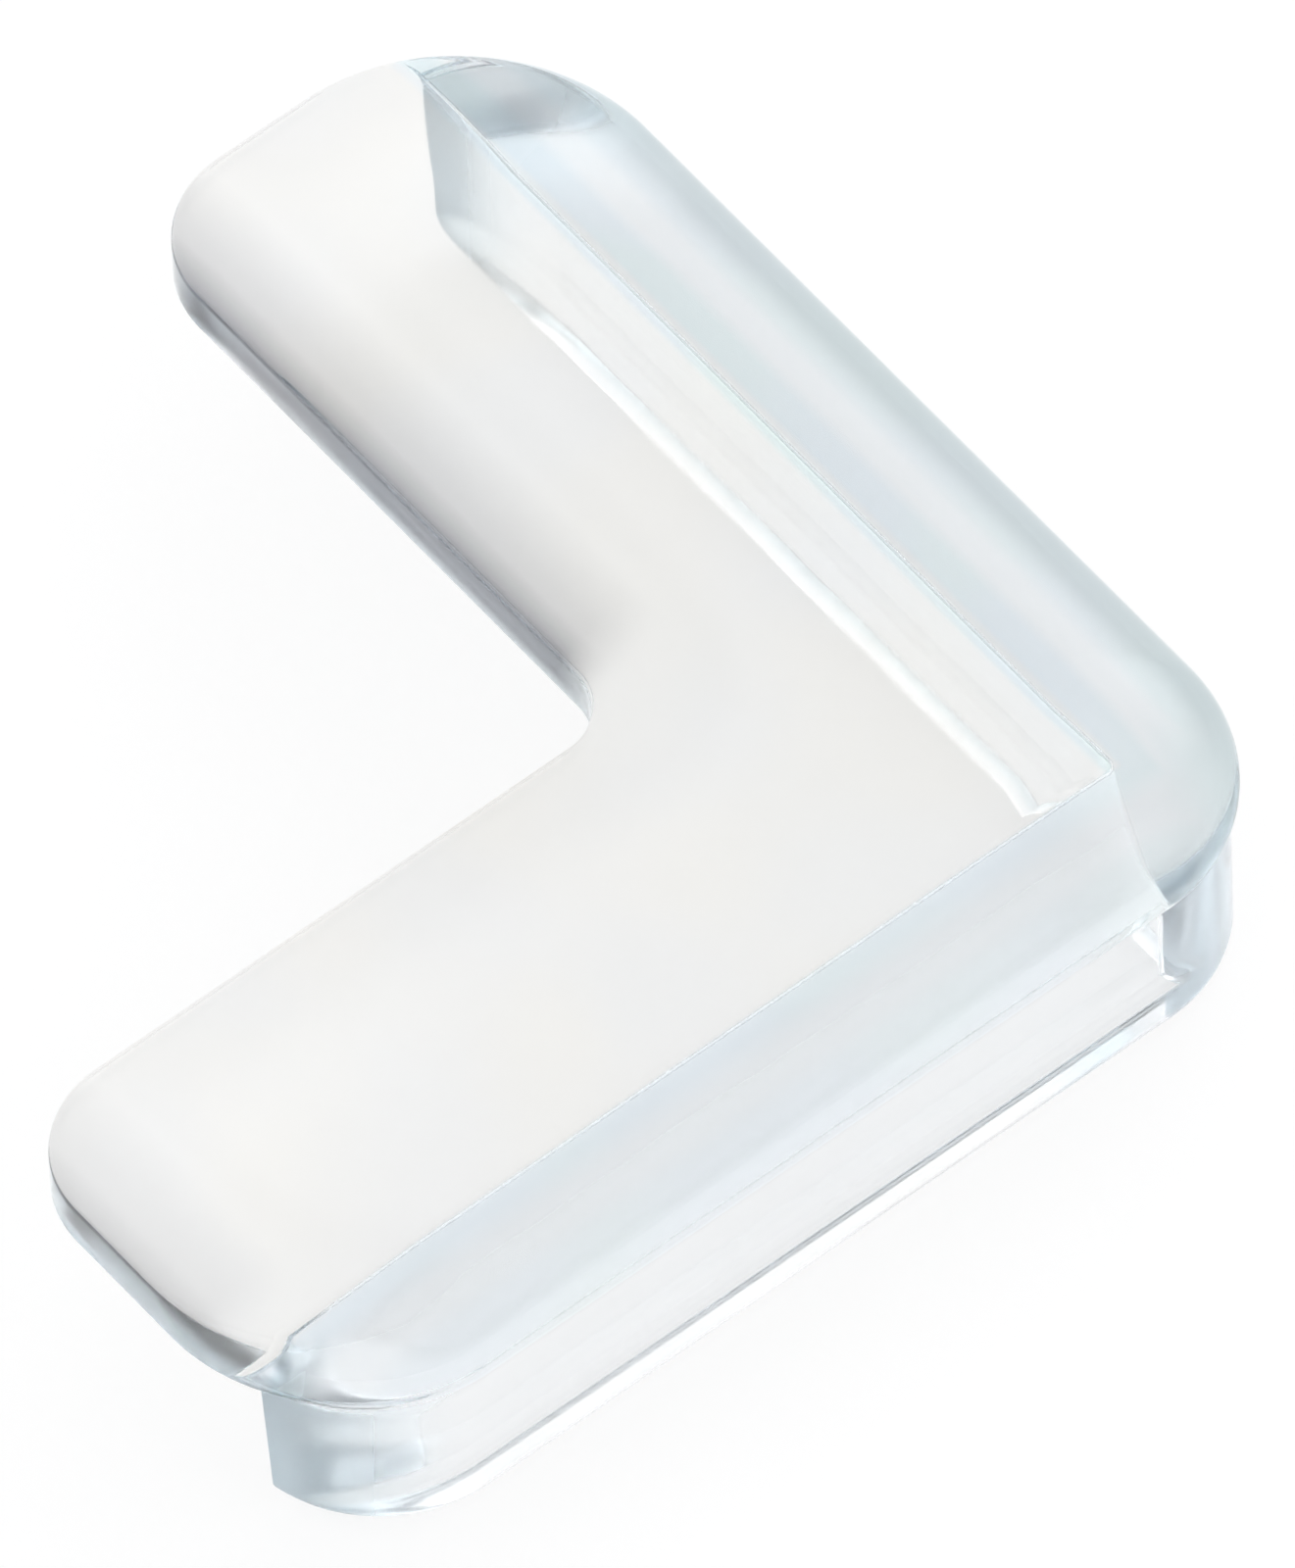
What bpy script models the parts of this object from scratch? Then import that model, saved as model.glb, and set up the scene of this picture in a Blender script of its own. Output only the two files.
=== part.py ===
"""Clear moulded corner protector for the corner of a table or shelf.

One piece of soft, clear plastic. Seen from above it is an L: a flange that
lies on the table top along both edges of the corner. A side wall hangs down
from the flange and covers the two edge faces. The outer edge of the flange
is a fat rounded roll that stands a little proud of the wall below it.

Frame: +Z up. The outer corner of the L points to -X -Y and the arms run
along +X and +Y. The origin is the middle of the bounding box in plan, at
the height of the wall's lower edge, on which the part stands.
"""

import math

import bmesh
import bpy
from mathutils import Vector

MM = 0.001

# Overall sizes, in millimetres
ARM_LENGTH = 55.0
HEIGHT = 15.3
FLANGE_WIDTH = 21.3
FLANGE_THICKNESS = 3.8
WALL_THICKNESS = 5.5

# The rounded roll along the outer edge of the flange
ROLL_OVERHANG = 0.8
ROLL_WIDTH = 6.7
ROLL_HEIGHT = 4.3
ROLL_UNDERSIDE = 1.0

# The flange's inner edge and arm ends: the top falls gently towards them
CROWN_WIDTH = 7.0
CROWN_DROP = 1.4
EDGE_RADIUS = 0.5

# Corner radii in plan
CORNER_RADIUS = 8.3
WALL_CORNER_RADIUS = 6.6
END_OUTER_RADIUS = 9.7
WALL_END_RADIUS = 6.9
END_INNER_RADIUS = 5.2
INNER_CORNER_RADIUS = 2.6

# How much each plan radius shrinks for each millimetre that its edge steps in
CORNER_SHRINK = 0.6
END_OUTER_SHRINK = 0.6
END_INNER_SHRINK = 0.6

# The free ends and the edges of the wall
WALL_END_SETBACK = 1.9
WALL_END_FILLET = 0.6
WALL_END_DRAFT = 0.5
WALL_END_LOWER_HEIGHT = 2.0
WALL_END_LOWER_REACH = 4.5
LOWER_EDGE_RADIUS = 1.6
CREASE_DEPTH = 0.2
CREASE_LIP = 1.0

# The recess that the table corner goes into
RECESS_CORNER_RADIUS = 0.5
RECESS_ROOT_RADIUS = 0.4
RECESS_LOWER_RADIUS = 1.2

# Facets
ROLL_STEPS = 9
UNDERSIDE_STEPS = 4
LOWER_STEPS = 5
CORNER_STEPS = 12
END_STEPS = 9
SMALL_ARC_STEPS = 5
EDGE_STEPS = 3
SMOOTH_ANGLE = math.radians(32.0)

# The most of an arm end's width that its two rounded corners may take up
LARGEST_SHARE = 0.98

# Heights and reaches that follow from the sizes above
CEILING = HEIGHT - FLANGE_THICKNESS
ROLL_MIDDLE = HEIGHT - ROLL_HEIGHT
CREASE = ROLL_MIDDLE - ROLL_UNDERSIDE
EDGE_SLOPE = math.atan(2.0 * CROWN_DROP / CROWN_WIDTH)
EDGE_ROUND_DEPTH = EDGE_RADIUS * (1.0 - math.sin(EDGE_SLOPE))
EDGE_ROUND_TOP = HEIGHT - CROWN_DROP * (1.0 - EDGE_ROUND_DEPTH / CROWN_WIDTH) ** 2
EDGE_TOP = EDGE_ROUND_TOP - EDGE_RADIUS * math.cos(EDGE_SLOPE)
RECESS_FACE = ROLL_OVERHANG + WALL_THICKNESS
CENTRE = ARM_LENGTH / 2.0

CLEAR_COLOUR = (0.86, 0.93, 0.94, 1.0)
CLEAR_ROUGHNESS = 0.06
CLEAR_IOR = 1.53


def quarter_round(part):
    """Step in of a quarter round, 0 at its foot and 1 at its crown."""
    part = min(max(part, 0.0), 1.0)
    return 1.0 - math.sqrt(1.0 - part * part)


def blend(start, end, part):
    """Value between start and end."""
    return start + (end - start) * part


def underside_part(z):
    """1 at the roll's widest height and above, 0 at the crease and below."""
    if z >= ROLL_MIDDLE:
        return 1.0
    if z <= CREASE:
        return 0.0
    return 1.0 - quarter_round((ROLL_MIDDLE - z) / ROLL_UNDERSIDE)


def roll_inset(z):
    """How far the roll has stepped in at height z, above its widest height."""
    return ROLL_WIDTH * quarter_round((z - ROLL_MIDDLE) / ROLL_HEIGHT)


def edge_inset(z):
    """How far the flange's inner edge and arm ends have stepped in.

    Above an upright face comes a small round, and then a gentle crown up to the flat top.
    """
    if z <= EDGE_TOP:
        return 0.0
    if z < EDGE_ROUND_TOP:
        return EDGE_RADIUS * quarter_round((z - EDGE_TOP) / EDGE_RADIUS)
    return CROWN_WIDTH * (1.0 - math.sqrt(max(0.0, HEIGHT - z) / CROWN_DROP))


def crease_inset(z):
    """How far the wall's upper edge rounds in towards the crease under the roll."""
    below = 1.0 - (CREASE - z) / CREASE_LIP
    return CREASE_DEPTH * quarter_round(below) * (1.0 - underside_part(z))


def outer_face(z):
    """Distance of the outer face from the roll's outermost line."""
    wall = ROLL_OVERHANG * (1.0 - underside_part(z))
    lower = LOWER_EDGE_RADIUS * quarter_round(1.0 - z / LOWER_EDGE_RADIUS)
    return wall + lower + crease_inset(z) + roll_inset(z)


def end_step(z):
    """How far the arm's end has stepped back under the flange, 0 at its underside and 1 below."""
    return 1.0 - quarter_round(1.0 - (CEILING - z) / WALL_END_FILLET)


def end_face(z):
    """Distance of the arm's end from the roll's outermost line."""
    draft = WALL_END_DRAFT * max(0.0, 1.0 - z / CREASE)
    lower = WALL_END_LOWER_REACH * quarter_round(1.0 - z / WALL_END_LOWER_HEIGHT)
    return ARM_LENGTH - WALL_END_SETBACK * end_step(z) - draft - lower - edge_inset(z)


def arc(centre_x, centre_y, radius, start, end, steps):
    """Points along an arc, angles in degrees."""
    points = []
    for index in range(steps + 1):
        angle = math.radians(blend(start, end, index / steps))
        points.append((centre_x + radius * math.cos(angle), centre_y + radius * math.sin(angle)))
    return points


def limited(first, second, room):
    """Two corner radii on one side, shrunk alike where the side is too short for both."""
    share = min(1.0, LARGEST_SHARE * room / (first + second))
    return first * share, second * share


def body_outline(z):
    """Outline of the L at height z, anticlockwise, as if it had no recess."""
    outer = outer_face(z)
    end = end_face(z)
    inset = edge_inset(z)
    inner = FLANGE_WIDTH - inset
    full = underside_part(z)
    corner = blend(WALL_CORNER_RADIUS, CORNER_RADIUS, full) - CORNER_SHRINK * roll_inset(z)
    roll_end = END_OUTER_RADIUS - WALL_END_SETBACK * end_step(z)
    end_outer = blend(WALL_END_RADIUS, roll_end, full) - END_OUTER_SHRINK * inset
    end_inner = END_INNER_RADIUS - END_INNER_SHRINK * inset
    end_outer, end_inner = limited(end_outer, end_inner, inner - outer)
    notch = INNER_CORNER_RADIUS + inset
    points = arc(outer + corner, outer + corner, corner, 180, 270, CORNER_STEPS)
    points += arc(end - end_outer, outer + end_outer, end_outer, 270, 360, END_STEPS)
    points += arc(end - end_inner, inner - end_inner, end_inner, 0, 90, END_STEPS)
    points += arc(inner + notch, inner + notch, notch, 270, 180, SMALL_ARC_STEPS)
    points += arc(inner - end_inner, end - end_inner, end_inner, 0, 90, END_STEPS)
    points += arc(outer + end_outer, end - end_outer, end_outer, 90, 180, END_STEPS)
    return points


def recess_outline(face):
    """Outline of the table corner's space, whose two walls lie at face."""
    far = 2.0 * ARM_LENGTH
    radius = RECESS_CORNER_RADIUS
    points = arc(face + radius, face + radius, radius, 180, 270, SMALL_ARC_STEPS)
    points += [(far, face), (far, far), (face, far)]
    return points


def body_heights():
    """Heights of the outlines, close together where the form curves."""
    heights = [0.0]
    for index in range(1, LOWER_STEPS + 1):
        turn = math.radians(90.0 * index / LOWER_STEPS)
        heights.append(LOWER_EDGE_RADIUS * (1.0 - math.cos(turn)))
    for index in range(1, LOWER_STEPS):
        heights.append(blend(LOWER_EDGE_RADIUS, WALL_END_LOWER_HEIGHT, index / (LOWER_STEPS - 1)))
    heights.append(CREASE)
    for index in range(1, UNDERSIDE_STEPS + 1):
        turn = math.radians(90.0 * index / UNDERSIDE_STEPS)
        heights.append(ROLL_MIDDLE - ROLL_UNDERSIDE * math.cos(turn))
    for index in range(1, ROLL_STEPS + 1):
        turn = math.radians(90.0 * index / ROLL_STEPS)
        heights.append(ROLL_MIDDLE + ROLL_HEIGHT * math.sin(turn))
    for index in range(EDGE_STEPS + 1):
        heights.append(blend(EDGE_TOP, EDGE_ROUND_TOP, index / EDGE_STEPS))
    for index in range(1, EDGE_STEPS + 1):
        turn = math.radians(90.0 * index / EDGE_STEPS)
        heights.append(CREASE - CREASE_LIP * math.sin(turn))
        heights.append(CEILING - WALL_END_FILLET * (1.0 - math.cos(turn)))
    heights.append(CEILING)
    return sorted(heights)


def loft(bm, layers):
    """Skin a stack of outlines that all have as many points."""
    rings = []
    for z, outline in layers:
        ring = []
        for x, y in outline:
            place = Vector((x - CENTRE, y - CENTRE, z)) * MM
            ring.append(bm.verts.new(place))
        rings.append(ring)
    count = len(rings[0])
    for lower, upper in zip(rings, rings[1:]):
        for index in range(count):
            after = (index + 1) % count
            bm.faces.new((lower[index], lower[after], upper[after], upper[index]))
    bm.faces.new(list(reversed(rings[0])))
    bm.faces.new(rings[-1])


def make_object(name, layers):
    """New object in the scene from a stack of outlines."""
    mesh = bpy.data.meshes.new(name)
    bm = bmesh.new()
    loft(bm, layers)
    bmesh.ops.recalc_face_normals(bm, faces=bm.faces)
    bm.to_mesh(mesh)
    bm.free()
    made = bpy.data.objects.new(name, mesh)
    bpy.context.scene.collection.objects.link(made)
    return made


def clear_plastic():
    """Clear, faintly blue-green soft plastic."""
    material = bpy.data.materials.new("clear_plastic")
    material.use_nodes = True
    shader = material.node_tree.nodes["Principled BSDF"]
    shader.inputs["Base Color"].default_value = CLEAR_COLOUR
    shader.inputs["Roughness"].default_value = CLEAR_ROUGHNESS
    shader.inputs["Metallic"].default_value = 0.0
    shader.inputs["IOR"].default_value = CLEAR_IOR
    shader.inputs["Transmission Weight"].default_value = 1.0
    material.diffuse_color = CLEAR_COLOUR
    return material


def recess_cutter():
    """The table corner's space: it flares at its mouth and is rounded at its ceiling."""
    layers = [(-HEIGHT, recess_outline(RECESS_FACE - RECESS_LOWER_RADIUS))]
    for index in range(LOWER_STEPS + 1):
        turn = math.radians(90.0 * index / LOWER_STEPS)
        face = RECESS_FACE - RECESS_LOWER_RADIUS * (1.0 - math.sin(turn))
        layers.append((RECESS_LOWER_RADIUS * (1.0 - math.cos(turn)), recess_outline(face)))
    for index in range(SMALL_ARC_STEPS + 1):
        turn = math.radians(90.0 * index / SMALL_ARC_STEPS)
        face = RECESS_FACE + RECESS_ROOT_RADIUS * (1.0 - math.cos(turn))
        height = CEILING - RECESS_ROOT_RADIUS * (1.0 - math.sin(turn))
        layers.append((height, recess_outline(face)))
    cutter = make_object("recess_cutter", layers)
    cutter.hide_render = True
    cutter.display_type = "WIRE"
    return cutter


def corner_guard():
    """The whole protector: one moulded piece."""
    layers = []
    for z in body_heights():
        layers.append((z, body_outline(z)))
    guard = make_object("corner_guard", layers)
    guard.data.materials.append(clear_plastic())
    guard.data.shade_smooth()
    guard.data.set_sharp_from_angle(angle=SMOOTH_ANGLE)
    cut = guard.modifiers.new("recess", "BOOLEAN")
    cut.operation = "DIFFERENCE"
    cut.solver = "EXACT"
    cut.object = recess_cutter()
    return guard


def main():
    for old in list(bpy.data.objects):
        bpy.data.objects.remove(old, do_unlink=True)
    corner_guard()


main()
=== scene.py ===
"""Looks of the clear corner protector: one piece of soft, clear plastic on a white floor.

Lengths are in millimetres unless a name or a comment says otherwise.
Places on the object are distances from its two outermost lines: x from the near arm's, y from the
far arm's. Heights are above the wall's lower edge.
"""

import math

import bmesh
import bpy
from mathutils import Matrix, Vector

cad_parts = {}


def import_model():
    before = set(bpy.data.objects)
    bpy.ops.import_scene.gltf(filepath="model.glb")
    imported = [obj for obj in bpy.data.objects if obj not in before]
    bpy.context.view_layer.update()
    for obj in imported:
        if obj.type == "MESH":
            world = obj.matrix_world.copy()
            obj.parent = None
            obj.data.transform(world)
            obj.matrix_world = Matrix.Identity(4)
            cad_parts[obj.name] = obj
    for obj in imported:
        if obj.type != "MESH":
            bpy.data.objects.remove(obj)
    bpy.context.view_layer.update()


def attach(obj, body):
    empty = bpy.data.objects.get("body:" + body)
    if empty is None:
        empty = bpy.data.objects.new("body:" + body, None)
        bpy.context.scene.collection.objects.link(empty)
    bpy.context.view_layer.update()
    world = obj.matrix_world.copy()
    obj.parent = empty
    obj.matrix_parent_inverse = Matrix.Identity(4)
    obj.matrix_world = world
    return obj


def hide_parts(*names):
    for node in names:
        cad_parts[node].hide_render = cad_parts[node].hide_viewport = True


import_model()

MM = 0.001

# Sizes of the protector, as the solid has them
ARM_LENGTH = 55.0
HEIGHT = 15.3
FLANGE_WIDTH = 21.3
FLANGE_THICKNESS = 3.8
WALL_THICKNESS = 5.5
ROLL_OVERHANG = 0.8
ROLL_WIDTH = 6.7
ROLL_HEIGHT = 4.3
ROLL_UNDERSIDE = 1.0
CROWN_WIDTH = 7.0
CROWN_DROP = 1.4
EDGE_RADIUS = 0.5
CORNER_RADIUS = 8.3
WALL_CORNER_RADIUS = 6.6
END_OUTER_RADIUS = 9.7
WALL_END_RADIUS = 6.9
END_INNER_RADIUS = 5.2
INNER_CORNER_RADIUS = 2.6
CORNER_SHRINK = 0.6
END_OUTER_SHRINK = 0.6
END_INNER_SHRINK = 0.6
WALL_END_SETBACK = 1.9
WALL_END_FILLET = 0.6
WALL_END_DRAFT = 0.5
WALL_END_LOWER_HEIGHT = 2.0
WALL_END_LOWER_REACH = 4.5
LOWER_EDGE_RADIUS = 1.6
CREASE_DEPTH = 0.2
CREASE_LIP = 1.0
RECESS_CORNER_RADIUS = 0.5
RECESS_ROOT_RADIUS = 0.4
RECESS_LOWER_RADIUS = 1.2

# Heights and reaches that follow from the sizes above
CEILING = HEIGHT - FLANGE_THICKNESS
ROLL_MIDDLE = HEIGHT - ROLL_HEIGHT
CREASE = ROLL_MIDDLE - ROLL_UNDERSIDE
EDGE_SLOPE = math.atan(2.0 * CROWN_DROP / CROWN_WIDTH)
EDGE_ROUND_DEPTH = EDGE_RADIUS * (1.0 - math.sin(EDGE_SLOPE))
EDGE_ROUND_TOP = HEIGHT - CROWN_DROP * (1.0 - EDGE_ROUND_DEPTH / CROWN_WIDTH) ** 2
EDGE_TOP = EDGE_ROUND_TOP - EDGE_RADIUS * math.cos(EDGE_SLOPE)
RECESS_FACE = ROLL_OVERHANG + WALL_THICKNESS
CENTRE = ARM_LENGTH / 2.0

# Fineness of the visible surface
ROLL_STEPS = 40
UNDERSIDE_STEPS = 10
LOWER_STEPS = 14
WALL_STEPS = 6
CORNER_STEPS = 48
END_STEPS = 36
SMALL_ARC_STEPS = 14
EDGE_STEPS = 8
SMOOTH_ANGLE = math.radians(28.0)
NORMAL_WEIGHT = 60

# Clear plastic: its bending of light, how clear it is, and what it takes from light inside it
PLASTIC_IOR = 1.5
CLARITY = 0.96
DEEP_COLOUR = (0.25, 0.6, 0.85, 1.0)
DEEP_DENSITY = 4.5

# Slow waves of the surface: lumps in a metre, and height
WAVE_SCALE = 170.0
WAVE_HEIGHT = 0.03

# Soft patches of colour and roughness: lumps in a metre, and the part of the noise that they use
LUMP_SCALE = 120.0
COLOUR_PATCHES = (0.35, 0.65)
ROUGH_PATCHES = (0.3, 0.7)
LEAST_ROUGHNESS = 0.035
MOST_ROUGHNESS = 0.085

# Colours between which the patches vary, on the flange and on the roll. The roll's colours are partly the
# plastic's blue tint and partly painted shade, and its pale colour is a painted highlight.
COOL_TINT = (0.93, 0.925, 0.915, 1.0)
WARM_TINT = (0.95, 0.935, 0.905, 1.0)
ROLL_BLUE = (0.84, 0.91, 0.96, 1.0)
ROLL_GREEN = (0.83, 0.94, 0.93, 1.0)
ROLL_HIGHLIGHT = (1.0, 1.0, 1.0, 1.0)

# Width of the bluer strip along each arm's roll, which is partly the plastic's tint and partly painted
# shade, how strong its colour is at places from the outermost line, 0, to the strip's inner limit, 1, and
# the width of its soft edge. The gap of 0 in each roll's steps is a painted highlight streak.
FAR_STRIP = 7.2
NEAR_STRIP = 5.0
FAR_SHADE_AND_HIGHLIGHT = ((0.0, 0.7), (0.46, 0.8), (0.57, 0.0), (0.7, 0.0), (0.8, 1.0), (1.0, 1.0))
NEAR_SHADE_AND_HIGHLIGHT = ((0.0, 0.65), (0.27, 0.5), (0.4, 0.0), (0.61, 0.0), (0.82, 1.0), (1.0, 1.0))
STRIP_EDGE = 0.4

# Round the outer corner the strip's colour is full, and this fades out between these places
CORNER_FULL = 3.5
CORNER_NONE = 7.0

# Colours of the wall and of its free ends, and how far above and below the crease they fade out
WALL_TINT = (1.0, 1.0, 1.0, 1.0)
END_TINT = (0.86, 0.955, 0.99, 1.0)
CREASE_FADE = 0.3
END_CREASE_FADE = 0.5

# Painted shade in a darker band along the far roll: colour, amount, and the places between which it fades
# out
PAINTED_ROLL_SHADE_COLOUR = (0.21, 0.37, 0.4, 1.0)
ROLL_SHADE_AMOUNT = 0.6
ROLL_SHADE_START = 0.4
ROLL_SHADE_WIDTH = 4.4

# The wall's free ends are matt: how rough, over what length fully so, and over what length it begins
END_ROUGHNESS = 0.32
END_MATT_MARGIN = 1.0
END_MATT_WIDTH = 6.0

# The wall's lower edge is a little matt, which fades out between these heights
LOWER_ROUGHNESS = 0.13
LOWER_MATT_START = 0.4
LOWER_MATT_HEIGHT = 1.3

# Painted shade along the far arm's inner edge and the near arm's end, greying the crown there: its colour,
# its amount at places from its inner limit, 0, to the edge, 1, and its widths
PAINTED_EDGE_SHADE_COLOUR = (0.0, 0.005, 0.03, 1.0)
EDGE_SHADE_STEPS = ((0.0, 0.0), (0.3, 0.18), (0.545, 0.31), (0.705, 0.37), (0.91, 0.68), (1.0, 0.85))
INNER_EDGE_SHADE_WIDTH = 4.4
END_EDGE_SHADE_WIDTH = 4.6

# Where the painted shade fades out: at the flange's underside, beside the inner corner, past the inner
# edge, beside the roll and down the near arm's end face. The near arm has the share of the amounts that is
# set last.
EDGE_SHADE_BELOW_CEILING = 0.5
EDGE_SHADE_ABOVE_CEILING = 1.0
EDGE_SHADE_BESIDE_NOTCH = 1.5
EDGE_SHADE_PAST_EDGE = (1.0, 2.0)
EDGE_SHADE_BESIDE_ROLL = (-1.0, 2.0)
END_FACE_FADE = 0.9
END_EDGE_SHADE_SHARE = 0.62

# Camera, fitted to the outline in the photo. The aim is the point in metres that lands on AIM_PIXEL.
PHOTO_WIDTH = 1321.0
PHOTO_HEIGHT = 1600.0
AZIMUTH = math.radians(233.0)
ELEVATION = math.radians(55.2)
CAMERA_ROLL = math.radians(-2.43)
PIXELS_PER_MM = 23.88
AIM = Vector((-6.97, -6.97, 8.86)) * MM
AIM_PIXEL = (656.7, 798.4)
CAMERA_METRES = 2.4
NEAREST_METRES = 0.01
FARTHEST_METRES = 20.0
SENSOR_WIDTH = 36.0

# The floor's colour for light that falls on it, and for sight, straight or through the plastic.
# The lift is the light that it shows beyond what falls on it, so that it is white where nothing shades it.
FLOOR_COLOUR = 0.8
SIGHT_COLOUR = 0.2
SIGHT_LIFT = 0.83
THROUGH_COLOUR = 0.5
THROUGH_LIFT = 0.61
FLOOR_ROUGHNESS = 0.9
FLOOR_HALF_METRES = 1.5
FLOOR_DROP = 0.1

# Light of the room, how bright it is where the camera sees it, and its soft boxes: direction,
# outer and inner angle in degrees, and brightness
ROOM_COLOUR = (0.985, 0.99, 1.0, 1.0)
ROOM_LIGHT = 0.8
SEEN_LIGHT = 1.03
SOFT_BOXES = (
    ((0.3, -0.68, 0.66), 34.0, 8.0, 1.0),
    ((-0.7, -0.34, 0.63), 30.0, 6.0, 0.8),
    ((-0.16, -0.93, 0.34), 24.0, 6.0, 0.4),
)

# How often light may turn: in all, at clear surfaces, and off the floor. Light runs long ways inside
# the plastic, whose ends come out dark where it may turn less often.
MOST_TURNS = 24
CLEAR_TURNS = 18
FLOOR_TURNS = 2


def quarter_round(part):
    """Step in of a quarter round, 0 at its foot and 1 at its crown."""
    part = min(max(part, 0.0), 1.0)
    return 1.0 - math.sqrt(1.0 - part * part)


def blend(start, end, part):
    """Value between start and end."""
    return start + (end - start) * part


def underside_part(z):
    """1 at the roll's widest height and above, 0 at the crease and below."""
    if z >= ROLL_MIDDLE:
        return 1.0
    if z <= CREASE:
        return 0.0
    return 1.0 - quarter_round((ROLL_MIDDLE - z) / ROLL_UNDERSIDE)


def roll_inset(z):
    """How far the roll has stepped in at height z, above its widest height."""
    return ROLL_WIDTH * quarter_round((z - ROLL_MIDDLE) / ROLL_HEIGHT)


def edge_inset(z):
    """How far the flange's inner edge and arm ends have stepped in.

    Above an upright face comes a small round, and then a gentle crown up to the flat top.
    """
    if z <= EDGE_TOP:
        return 0.0
    if z < EDGE_ROUND_TOP:
        return EDGE_RADIUS * quarter_round((z - EDGE_TOP) / EDGE_RADIUS)
    return CROWN_WIDTH * (1.0 - math.sqrt(max(0.0, HEIGHT - z) / CROWN_DROP))


def crease_inset(z):
    """How far the wall's upper edge rounds in towards the crease under the roll."""
    below = 1.0 - (CREASE - z) / CREASE_LIP
    return CREASE_DEPTH * quarter_round(below) * (1.0 - underside_part(z))


def outer_face(z):
    """Distance of the outer face from the roll's outermost line."""
    wall = ROLL_OVERHANG * (1.0 - underside_part(z))
    lower = LOWER_EDGE_RADIUS * quarter_round(1.0 - z / LOWER_EDGE_RADIUS)
    return wall + lower + crease_inset(z) + roll_inset(z)


def end_step(z):
    """How far the arm's end has stepped back under the flange, 0 at its underside and 1 below."""
    return 1.0 - quarter_round(1.0 - (CEILING - z) / WALL_END_FILLET)


def end_face(z):
    """Distance of the arm's end from the roll's outermost line."""
    draft = WALL_END_DRAFT * max(0.0, 1.0 - z / CREASE)
    lower = WALL_END_LOWER_REACH * quarter_round(1.0 - z / WALL_END_LOWER_HEIGHT)
    return ARM_LENGTH - WALL_END_SETBACK * end_step(z) - draft - lower - edge_inset(z)


def arc(centre_x, centre_y, radius, start, end, steps):
    """Points along an arc, angles in degrees."""
    points = []
    for index in range(steps + 1):
        angle = math.radians(blend(start, end, index / steps))
        points.append((centre_x + radius * math.cos(angle), centre_y + radius * math.sin(angle)))
    return points


def body_outline(z):
    """Outline of the L at height z, anticlockwise, as if it had no recess."""
    outer = outer_face(z)
    end = end_face(z)
    inset = edge_inset(z)
    inner = FLANGE_WIDTH - inset
    full = underside_part(z)
    corner = blend(WALL_CORNER_RADIUS, CORNER_RADIUS, full) - CORNER_SHRINK * roll_inset(z)
    roll_end = END_OUTER_RADIUS - WALL_END_SETBACK * end_step(z)
    end_outer = blend(WALL_END_RADIUS, roll_end, full) - END_OUTER_SHRINK * inset
    end_inner = END_INNER_RADIUS - END_INNER_SHRINK * inset
    notch = INNER_CORNER_RADIUS + inset
    points = arc(outer + corner, outer + corner, corner, 180, 270, CORNER_STEPS)
    points += arc(end - end_outer, outer + end_outer, end_outer, 270, 360, END_STEPS)
    points += arc(end - end_inner, inner - end_inner, end_inner, 0, 90, END_STEPS)
    points += arc(inner + notch, inner + notch, notch, 270, 180, SMALL_ARC_STEPS)
    points += arc(inner - end_inner, end - end_inner, end_inner, 0, 90, END_STEPS)
    points += arc(outer + end_outer, end - end_outer, end_outer, 90, 180, END_STEPS)
    return points


def recess_outline(face):
    """Outline of the table corner's space, whose two walls lie at face."""
    far = 2.0 * ARM_LENGTH
    radius = RECESS_CORNER_RADIUS
    points = arc(face + radius, face + radius, radius, 180, 270, SMALL_ARC_STEPS)
    points += [(far, face), (far, far), (face, far)]
    return points


def body_heights():
    """Heights of the outlines, close together where the form curves."""
    heights = [0.0]
    for index in range(1, LOWER_STEPS + 1):
        turn = math.radians(90.0 * index / LOWER_STEPS)
        heights.append(LOWER_EDGE_RADIUS * (1.0 - math.cos(turn)))
    for index in range(1, LOWER_STEPS):
        heights.append(blend(LOWER_EDGE_RADIUS, WALL_END_LOWER_HEIGHT, index / (LOWER_STEPS - 1)))
    for index in range(1, WALL_STEPS):
        heights.append(blend(WALL_END_LOWER_HEIGHT, CREASE, index / WALL_STEPS))
    heights.append(CREASE)
    for index in range(1, UNDERSIDE_STEPS + 1):
        turn = math.radians(90.0 * index / UNDERSIDE_STEPS)
        heights.append(ROLL_MIDDLE - ROLL_UNDERSIDE * math.cos(turn))
    for index in range(1, ROLL_STEPS + 1):
        turn = math.radians(90.0 * index / ROLL_STEPS)
        heights.append(ROLL_MIDDLE + ROLL_HEIGHT * math.sin(turn))
    for index in range(EDGE_STEPS + 1):
        heights.append(blend(EDGE_TOP, EDGE_ROUND_TOP, index / EDGE_STEPS))
    for index in range(1, EDGE_STEPS + 1):
        turn = math.radians(90.0 * index / EDGE_STEPS)
        heights.append(CREASE - CREASE_LIP * math.sin(turn))
        heights.append(CEILING - WALL_END_FILLET * (1.0 - math.cos(turn)))
    heights.append(CEILING)
    return sorted(heights)


def loft(bm, layers):
    """Skin a stack of outlines that all have as many points."""
    rings = []
    for z, outline in layers:
        ring = []
        for x, y in outline:
            place = Vector((x - CENTRE, y - CENTRE, z)) * MM
            ring.append(bm.verts.new(place))
        rings.append(ring)
    count = len(rings[0])
    for lower, upper in zip(rings, rings[1:]):
        for index in range(count):
            after = (index + 1) % count
            bm.faces.new((lower[index], lower[after], upper[after], upper[index]))
    bm.faces.new(list(reversed(rings[0])))
    bm.faces.new(rings[-1])


def make_object(name, layers):
    """New object in the scene from a stack of outlines."""
    mesh = bpy.data.meshes.new(name)
    bm = bmesh.new()
    loft(bm, layers)
    bmesh.ops.recalc_face_normals(bm, faces=bm.faces)
    bm.to_mesh(mesh)
    bm.free()
    made = bpy.data.objects.new(name, mesh)
    bpy.context.scene.collection.objects.link(made)
    return made


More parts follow.
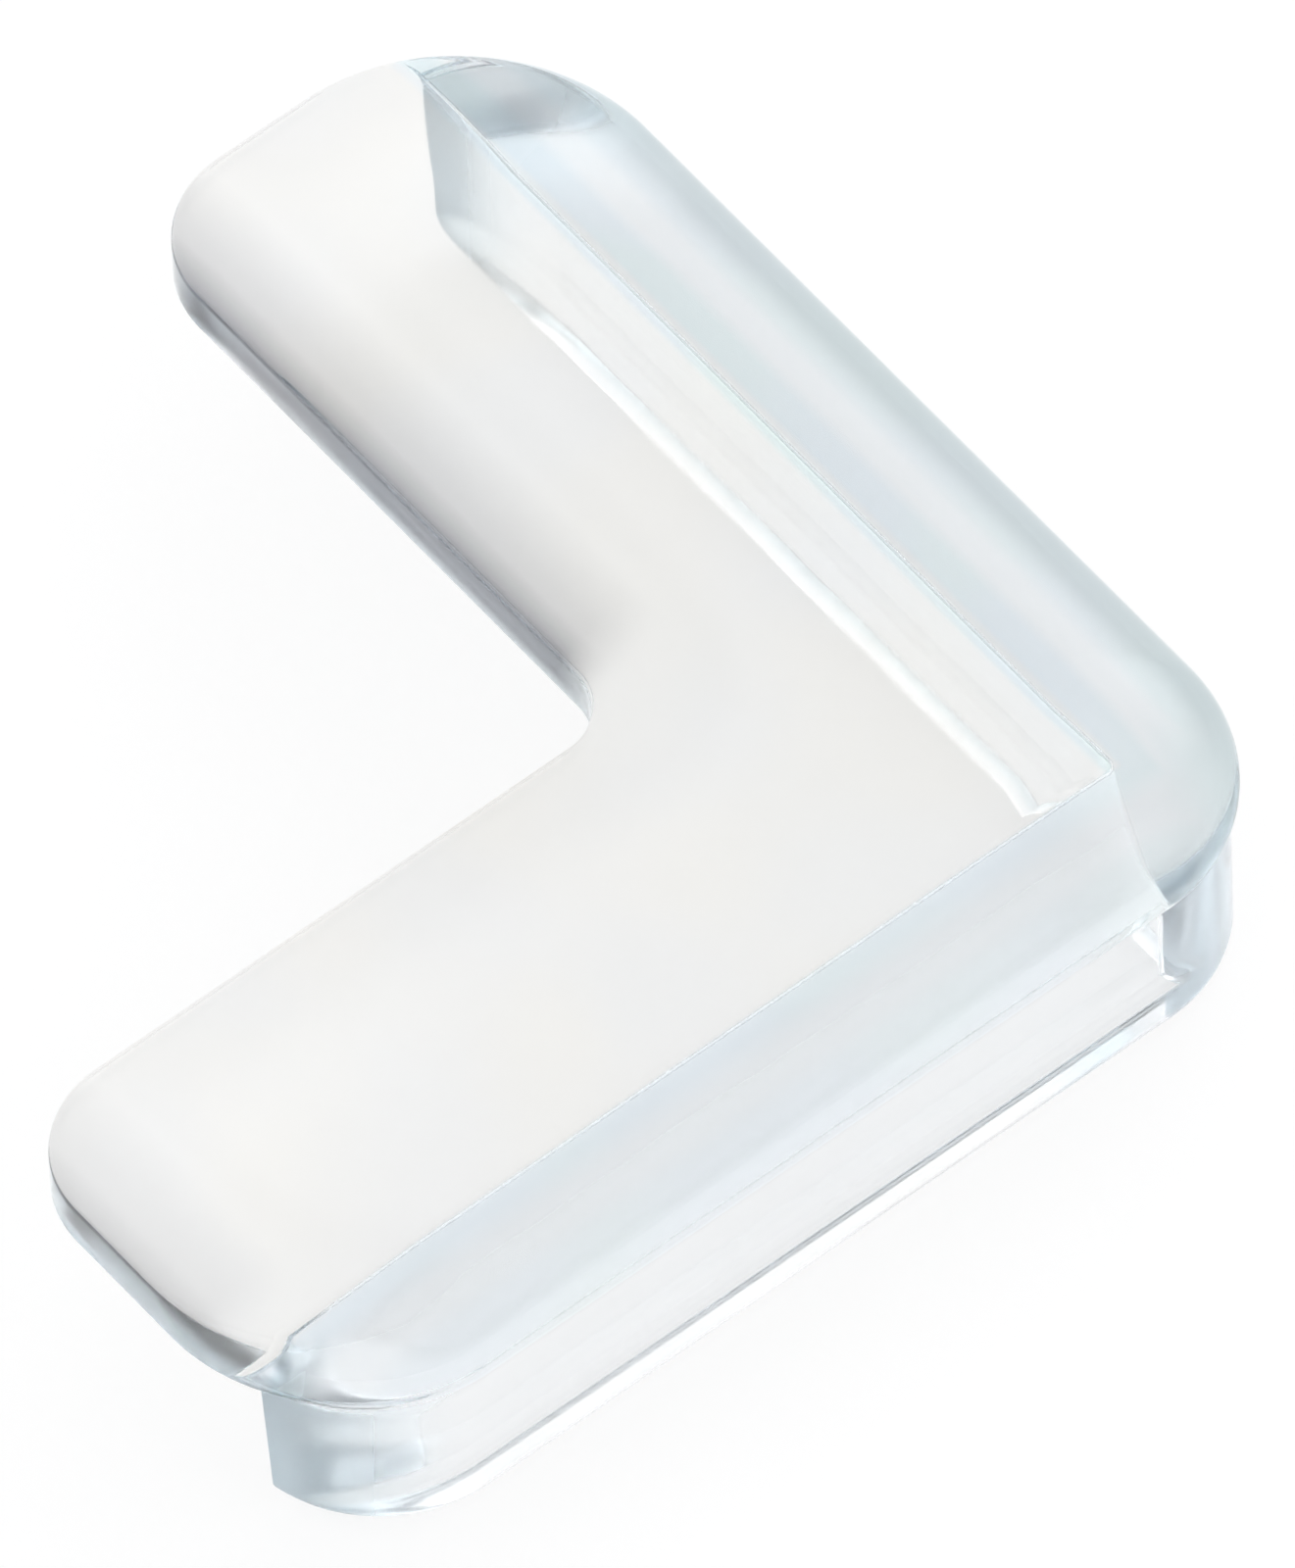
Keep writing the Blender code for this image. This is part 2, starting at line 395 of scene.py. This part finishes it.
def recess_cutter():
    """The table corner's space: it flares at its mouth and is rounded at its ceiling."""
    layers = [(-HEIGHT, recess_outline(RECESS_FACE - RECESS_LOWER_RADIUS))]
    for index in range(LOWER_STEPS + 1):
        turn = math.radians(90.0 * index / LOWER_STEPS)
        face = RECESS_FACE - RECESS_LOWER_RADIUS * (1.0 - math.sin(turn))
        layers.append((RECESS_LOWER_RADIUS * (1.0 - math.cos(turn)), recess_outline(face)))
    for index in range(SMALL_ARC_STEPS + 1):
        turn = math.radians(90.0 * index / SMALL_ARC_STEPS)
        face = RECESS_FACE + RECESS_ROOT_RADIUS * (1.0 - math.cos(turn))
        height = CEILING - RECESS_ROOT_RADIUS * (1.0 - math.sin(turn))
        layers.append((height, recess_outline(face)))
    return make_object("recess_cutter", layers)


def apply_modifiers(made):
    """Replace the object's mesh by the one that its modifiers give."""
    graph = bpy.context.evaluated_depsgraph_get()
    mesh = bpy.data.meshes.new_from_object(made.evaluated_get(graph))
    old = made.data
    made.modifiers.clear()
    made.data = mesh
    mesh.name = made.name
    bpy.data.meshes.remove(old)


def protector():
    """The whole protector, with the recess cut and the shading evened out."""
    layers = []
    for z in body_heights():
        layers.append((z, body_outline(z)))
    made = make_object("clear_corner", layers)
    cutter = recess_cutter()
    cut = made.modifiers.new("recess", "BOOLEAN")
    cut.operation = "DIFFERENCE"
    cut.solver = "EXACT"
    cut.object = cutter
    apply_modifiers(made)
    bpy.data.objects.remove(cutter, do_unlink=True)
    made.data.shade_smooth()
    made.data.set_sharp_from_angle(angle=SMOOTH_ANGLE)
    normals = made.modifiers.new("even_normals", "WEIGHTED_NORMAL")
    normals.keep_sharp = True
    normals.weight = NORMAL_WEIGHT
    apply_modifiers(made)
    return made


def noise(tree, place, scale, detail):
    """Noise from 0 to 1 with about scale lumps in a metre."""
    made = tree.nodes.new("ShaderNodeTexNoise")
    made.inputs["Scale"].default_value = scale
    made.inputs["Detail"].default_value = detail
    tree.links.new(place, made.inputs["Vector"])
    return made.outputs["Fac"]


def ranged(tree, value, low, high, first=0.0, last=1.0):
    """Value carried smoothly from first at low to last at high."""
    made = tree.nodes.new("ShaderNodeMapRange")
    made.interpolation_type = "SMOOTHSTEP"
    made.inputs["From Min"].default_value = low
    made.inputs["From Max"].default_value = high
    made.inputs["To Min"].default_value = first
    made.inputs["To Max"].default_value = last
    tree.links.new(value, made.inputs["Value"])
    return made.outputs["Result"]


def over_plan(tree, value, low, high, first=0.0, last=1.0):
    """As ranged, for x or y, with low and high as distances from the outermost line."""
    return ranged(tree, value, (low - CENTRE) * MM, (high - CENTRE) * MM, first, last)


def over_height(tree, z, low, high, first=0.0, last=1.0):
    """As ranged, for z, with low and high as heights."""
    return ranged(tree, z, low * MM, high * MM, first, last)


def combined(tree, kind, first, second):
    """Two values, each a socket or a plain number, put together by the kind of sum that is named."""
    made = tree.nodes.new("ShaderNodeMath")
    made.operation = kind
    for socket, value in zip(made.inputs, (first, second)):
        if isinstance(value, float):
            socket.default_value = value
        else:
            tree.links.new(value, socket)
    return made.outputs[0]


def mixed(tree, factor, first, second):
    """Mix of two colours, each a socket or a plain colour."""
    made = tree.nodes.new("ShaderNodeMix")
    made.data_type = "RGBA"
    tree.links.new(factor, made.inputs["Factor"])
    for name, colour in (("A", first), ("B", second)):
        if isinstance(colour, tuple):
            made.inputs[name].default_value = colour
        else:
            tree.links.new(colour, made.inputs[name])
    return made.outputs["Result"]


def grey(amount):
    """Plain grey as a colour."""
    return (amount, amount, amount, 1.0)


def graded(tree, value, low, high, steps):
    """x or y carried through the amounts in steps, whose places run from 0 at low to 1 at high.

    As in over_plan, low and high are distances from the outermost line.
    """
    along = tree.nodes.new("ShaderNodeMapRange")
    along.inputs["From Min"].default_value = (low - CENTRE) * MM
    along.inputs["From Max"].default_value = (high - CENTRE) * MM
    tree.links.new(value, along.inputs["Value"])
    ramp = tree.nodes.new("ShaderNodeValToRGB")
    stops = ramp.color_ramp.elements
    stops[0].color = grey(steps[0][1])
    stops[1].color = grey(steps[-1][1])
    for place, amount in steps[1:-1]:
        stops.new(place).color = grey(amount)
    tree.links.new(along.outputs["Result"], ramp.inputs["Fac"])
    return ramp.outputs["Color"]


def painted_edge_shade(tree, x, y, z):
    """How much painted shade darkens the plastic along the far arm's inner edge and the near arm's end."""
    inner = graded(tree, y, FLANGE_WIDTH - INNER_EDGE_SHADE_WIDTH, FLANGE_WIDTH, EDGE_SHADE_STEPS)
    notch = FLANGE_WIDTH + INNER_CORNER_RADIUS
    past_notch = over_plan(tree, x, notch - EDGE_SHADE_BESIDE_NOTCH, notch + EDGE_SHADE_BESIDE_NOTCH)
    start, stop = EDGE_SHADE_PAST_EDGE
    past_edge = over_plan(tree, y, FLANGE_WIDTH + start, FLANGE_WIDTH + stop, 1.0, 0.0)
    far = combined(tree, "MULTIPLY", inner, past_notch)
    far = combined(tree, "MULTIPLY", far, past_edge)
    end = graded(tree, y, ARM_LENGTH - END_EDGE_SHADE_WIDTH, ARM_LENGTH, EDGE_SHADE_STEPS)
    start, stop = EDGE_SHADE_BESIDE_ROLL
    beside_roll = over_plan(tree, x, ROLL_WIDTH + start, ROLL_WIDTH + stop)
    down_face = over_height(tree, z, EDGE_TOP - END_FACE_FADE, EDGE_TOP, 0.0, END_EDGE_SHADE_SHARE)
    near = combined(tree, "MULTIPLY", end, beside_roll)
    near = combined(tree, "MULTIPLY", near, down_face)
    both = combined(tree, "MAXIMUM", far, near)
    top = over_height(tree, z, CEILING - EDGE_SHADE_BELOW_CEILING, CEILING + EDGE_SHADE_ABOVE_CEILING)
    return combined(tree, "MULTIPLY", both, top)


def wall_ends(tree, x, y, z):
    """1 on the wall's two free ends, fading out along the wall and at the crease under the roll."""
    last = ARM_LENGTH - WALL_END_SETBACK - END_MATT_MARGIN
    far = over_plan(tree, x, last - END_MATT_WIDTH, last)
    near = over_plan(tree, y, last - END_MATT_WIDTH, last)
    below = over_height(tree, z, CREASE - END_CREASE_FADE, CREASE + END_CREASE_FADE, 1.0, 0.0)
    return combined(tree, "MULTIPLY", combined(tree, "MAXIMUM", far, near), below)


def strip(tree, x, y, above_crease):
    """1 on the bluer strip along the roll, which is partly painted shade, and 0 elsewhere."""
    near = over_plan(tree, x, NEAR_STRIP - STRIP_EDGE, NEAR_STRIP, 1.0, 0.0)
    far = over_plan(tree, y, FAR_STRIP - STRIP_EDGE, FAR_STRIP, 1.0, 0.0)
    return combined(tree, "MULTIPLY", combined(tree, "MAXIMUM", near, far), above_crease)


def strip_shade_and_highlight(tree, x, y):
    """How strong the strip's colour is across it, with a pale gap for a painted highlight streak, and full
    round the outer corner.
    """
    near = graded(tree, x, 0.0, NEAR_STRIP, NEAR_SHADE_AND_HIGHLIGHT)
    far = graded(tree, y, 0.0, FAR_STRIP, FAR_SHADE_AND_HIGHLIGHT)
    arms = combined(tree, "MINIMUM", near, far)
    near_line = over_plan(tree, x, CORNER_FULL, CORNER_NONE, 1.0, 0.0)
    far_line = over_plan(tree, y, CORNER_FULL, CORNER_NONE, 1.0, 0.0)
    corner = combined(tree, "MULTIPLY", near_line, far_line)
    return combined(tree, "MAXIMUM", arms, corner)


def plastic_colour(tree, x, y, z, lumps, ends):
    """The plastic's colour: patches, the roll's strip with painted shade and painted highlight streaks,
    the wall, a band of painted shade on the far roll, and painted shade along two edges.
    """
    patches = ranged(tree, lumps, *COLOUR_PATCHES)
    above_crease = over_height(tree, z, CREASE - CREASE_FADE, CREASE + CREASE_FADE)
    below_crease = over_height(tree, z, CREASE - CREASE_FADE, CREASE + CREASE_FADE, 1.0, 0.0)
    flange = mixed(tree, patches, COOL_TINT, WARM_TINT)
    roll = mixed(tree, patches, ROLL_BLUE, ROLL_GREEN)
    # Partly painted shade on the roll, with pale gaps that are painted highlight streaks
    roll = mixed(tree, strip_shade_and_highlight(tree, x, y), ROLL_HIGHLIGHT, roll)
    colour = mixed(tree, strip(tree, x, y, above_crease), flange, roll)
    colour = mixed(tree, below_crease, colour, WALL_TINT)
    colour = mixed(tree, ends, colour, END_TINT)
    # Painted shade: a darker band along the far roll
    roll_shade = over_plan(tree, y, ROLL_SHADE_START, ROLL_SHADE_WIDTH, ROLL_SHADE_AMOUNT, 0.0)
    roll_shade = combined(tree, "MULTIPLY", roll_shade, above_crease)
    colour = mixed(tree, roll_shade, colour, PAINTED_ROLL_SHADE_COLOUR)
    # Painted shade along the far arm's inner edge and the near arm's end
    return mixed(tree, painted_edge_shade(tree, x, y, z), colour, PAINTED_EDGE_SHADE_COLOUR)


def plastic_roughness(tree, z, lumps, ends):
    """Smooth with soft patches, matt on the wall's free ends and a little so on its lower edge."""
    lower = over_height(tree, z, LOWER_MATT_START, LOWER_MATT_HEIGHT, LOWER_ROUGHNESS, 0.0)
    matt_ends = ranged(tree, ends, 0.0, 1.0, 0.0, END_ROUGHNESS)
    low, high = ROUGH_PATCHES
    patches = ranged(tree, lumps, low, high, LEAST_ROUGHNESS, MOST_ROUGHNESS)
    matt = combined(tree, "MAXIMUM", lower, matt_ends)
    return combined(tree, "MAXIMUM", matt, patches)


def clear_plastic():
    """Clear plastic with faint waves in its surface, light that fades to blue inside it, and painted shade
    and highlight in its colour.
    """
    material = bpy.data.materials.new("clear_plastic")
    material.use_nodes = True
    tree = material.node_tree
    shader = tree.nodes["Principled BSDF"]
    shader.inputs["IOR"].default_value = PLASTIC_IOR
    shader.inputs["Transmission Weight"].default_value = CLARITY
    place = tree.nodes.new("ShaderNodeTexCoord").outputs["Object"]
    split = tree.nodes.new("ShaderNodeSeparateXYZ")
    tree.links.new(place, split.inputs[0])
    x, y, z = split.outputs
    lumps = noise(tree, place, LUMP_SCALE, 0.0)
    ends = wall_ends(tree, x, y, z)
    tree.links.new(plastic_colour(tree, x, y, z, lumps, ends), shader.inputs["Base Color"])
    tree.links.new(plastic_roughness(tree, z, lumps, ends), shader.inputs["Roughness"])
    waves = tree.nodes.new("ShaderNodeBump")
    waves.inputs["Distance"].default_value = WAVE_HEIGHT * MM
    tree.links.new(noise(tree, place, WAVE_SCALE, 1.0), waves.inputs["Height"])
    tree.links.new(waves.outputs["Normal"], shader.inputs["Normal"])
    absorb = tree.nodes.new("ShaderNodeVolumeAbsorption")
    absorb.inputs["Color"].default_value = DEEP_COLOUR
    absorb.inputs["Density"].default_value = DEEP_DENSITY
    tree.links.new(absorb.outputs["Volume"], tree.nodes["Material Output"].inputs["Volume"])
    return material


def camera():
    """Camera at the photo's angle, far off, with its frame shifted so that the aim lands on its pixel."""
    data = bpy.data.cameras.new("camera")
    made = bpy.data.objects.new("camera", data)
    bpy.context.scene.collection.objects.link(made)
    back = Vector((
        math.sin(AZIMUTH) * math.cos(ELEVATION),
        -math.cos(AZIMUTH) * math.cos(ELEVATION),
        math.sin(ELEVATION),
    ))
    side = Vector((math.cos(AZIMUTH), math.sin(AZIMUTH), 0.0))
    up = back.cross(side)
    right = side * math.cos(CAMERA_ROLL) + up * math.sin(CAMERA_ROLL)
    above = up * math.cos(CAMERA_ROLL) - side * math.sin(CAMERA_ROLL)
    turn = Matrix((right, above, back)).transposed()
    made.matrix_world = Matrix.Translation(AIM + back * CAMERA_METRES) @ turn.to_4x4()
    focal_pixels = PIXELS_PER_MM / MM * CAMERA_METRES
    data.sensor_fit = "AUTO"
    data.sensor_width = SENSOR_WIDTH
    data.lens = focal_pixels * SENSOR_WIDTH / PHOTO_HEIGHT
    data.shift_x = (PHOTO_WIDTH / 2.0 - AIM_PIXEL[0]) / PHOTO_HEIGHT
    data.shift_y = (AIM_PIXEL[1] - PHOTO_HEIGHT / 2.0) / PHOTO_HEIGHT
    data.clip_start = NEAREST_METRES
    data.clip_end = FARTHEST_METRES
    bpy.context.scene.camera = made


def floor_shader(tree, colour, lift):
    """Plain grey that also gives off the light of its lift."""
    shader = tree.nodes.new("ShaderNodeBsdfPrincipled")
    shader.inputs["Base Color"].default_value = grey(colour)
    shader.inputs["Roughness"].default_value = FLOOR_ROUGHNESS
    shader.inputs["Specular IOR Level"].default_value = 0.0
    shader.inputs["Emission Color"].default_value = grey(1.0)
    shader.inputs["Emission Strength"].default_value = lift
    return shader


def mixed_shaders(tree, factor, first, second):
    """Mix of two shaders."""
    made = tree.nodes.new("ShaderNodeMixShader")
    tree.links.new(factor, made.inputs[0])
    tree.links.new(first.outputs[0], made.inputs[1])
    tree.links.new(second.outputs[0], made.inputs[2])
    return made


def floor_material():
    """Pale floor, with a shader each for light, for straight sight and for sight through the plastic."""
    material = bpy.data.materials.new("floor")
    material.use_nodes = True
    tree = material.node_tree
    tree.nodes.remove(tree.nodes["Principled BSDF"])
    lit = floor_shader(tree, FLOOR_COLOUR, 0.0)
    sight = floor_shader(tree, SIGHT_COLOUR, SIGHT_LIFT)
    through = floor_shader(tree, THROUGH_COLOUR, THROUGH_LIFT)
    paths = tree.nodes.new("ShaderNodeLightPath")
    bent = combined(tree, "MAXIMUM", paths.outputs["Is Transmission Ray"], paths.outputs["Is Glossy Ray"])
    unseen = mixed_shaders(tree, bent, lit, through)
    whole = mixed_shaders(tree, paths.outputs["Is Camera Ray"], unseen, sight)
    tree.links.new(whole.outputs[0], tree.nodes["Material Output"].inputs["Surface"])
    return material


def floor():
    """Plain floor just under the object."""
    mesh = bpy.data.meshes.new("floor")
    bm = bmesh.new()
    bmesh.ops.create_grid(bm, x_segments=1, y_segments=1, size=FLOOR_HALF_METRES)
    bm.to_mesh(mesh)
    bm.free()
    made = bpy.data.objects.new("floor", mesh)
    bpy.context.scene.collection.objects.link(made)
    made.location = (0.0, 0.0, -FLOOR_DROP * MM)
    made.data.materials.append(floor_material())


def soft_box(tree, direction, toward, outer, inner, glow):
    """Soft-edged bright patch of the studio's walls, seen in the direction toward."""
    dot = tree.nodes.new("ShaderNodeVectorMath")
    dot.operation = "DOT_PRODUCT"
    dot.inputs[1].default_value = Vector(toward).normalized()
    tree.links.new(direction, dot.inputs[0])
    edge = math.cos(math.radians(outer))
    full = math.cos(math.radians(inner))
    return ranged(tree, dot.outputs["Value"], edge, full, 0.0, glow)


def world():
    """Even room with a few soft boxes. The camera sees it plain white."""
    made = bpy.data.worlds.new("studio")
    bpy.context.scene.world = made
    made.use_nodes = True
    tree = made.node_tree
    background = tree.nodes["Background"]
    background.inputs["Color"].default_value = ROOM_COLOUR
    direction = tree.nodes.new("ShaderNodeTexCoord").outputs["Generated"]
    total = ROOM_LIGHT
    for toward, outer, inner, glow in SOFT_BOXES:
        patch = soft_box(tree, direction, toward, outer, inner, glow)
        total = combined(tree, "ADD", patch, total)
    paths = tree.nodes.new("ShaderNodeLightPath")
    seen = tree.nodes.new("ShaderNodeMix")
    tree.links.new(paths.outputs["Is Camera Ray"], seen.inputs["Factor"])
    tree.links.new(total, seen.inputs["A"])
    seen.inputs["B"].default_value = SEEN_LIGHT
    tree.links.new(seen.outputs["Result"], background.inputs["Strength"])


def main():
    """Dress the protector, and set up its camera, floor and light."""
    piece = protector()
    piece.data.materials.clear()
    piece.data.materials.append(clear_plastic())
    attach(piece, "root")
    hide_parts("corner_guard")
    camera()
    floor()
    world()
    scene = bpy.context.scene
    scene.view_settings.view_transform = "Standard"
    scene.cycles.max_bounces = MOST_TURNS
    scene.cycles.glossy_bounces = CLEAR_TURNS
    scene.cycles.transmission_bounces = CLEAR_TURNS
    scene.cycles.diffuse_bounces = FLOOR_TURNS


main()
